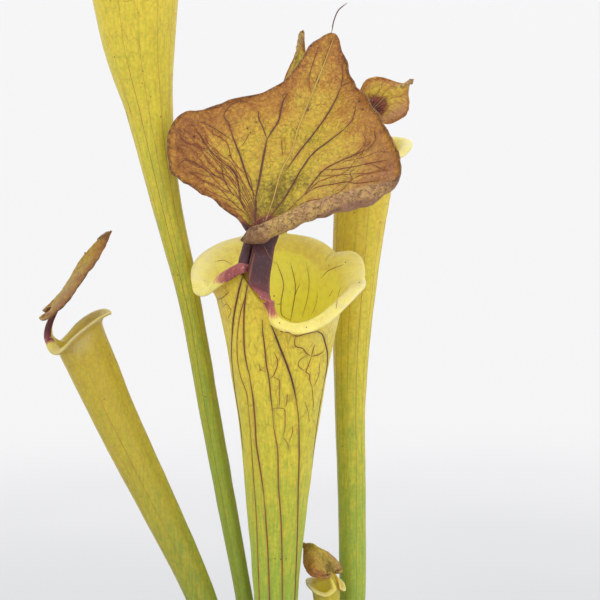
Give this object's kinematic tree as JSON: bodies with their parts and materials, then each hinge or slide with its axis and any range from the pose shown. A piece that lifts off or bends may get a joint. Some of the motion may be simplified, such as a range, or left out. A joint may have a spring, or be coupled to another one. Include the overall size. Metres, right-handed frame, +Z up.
{
  "type": "potted yellow pitcher plant",
  "caption": "Potted carnivorous plant with tall hollow yellow pitcher leaves, each with a rolled lip and a hood over its mouth, on one crown in peat in a round nursery pot.",
  "frame": {"origin": "centre of the pot's underside", "axes": "+Z up along the leaves, +Y away from the front view, +X to the right in that view"},
  "size_m": [0.1817, 0.14, 0.5734],
  "materials": {
    "pot_plastic": "matt dark thermoformed plastic",
    "peat": "damp crumbly peat with moss and perlite",
    "crown_bark": "fibrous brown rhizome",
    "pitcher_leaf": "waxy yellow-green leaf with red-brown veins"
  },
  "bodies": {
    "root": {"pot": "pot_plastic", "soil": "peat", "crown": "crown_bark", "pitcher_front": "pitcher_leaf", "pitcher_tall_left": "pitcher_leaf", "pitcher_right": "pitcher_leaf", "pitcher_rear": "pitcher_leaf", "pitcher_low_left": "pitcher_leaf", "pitcher_small": "pitcher_leaf"}
  },
  "joints": []
}
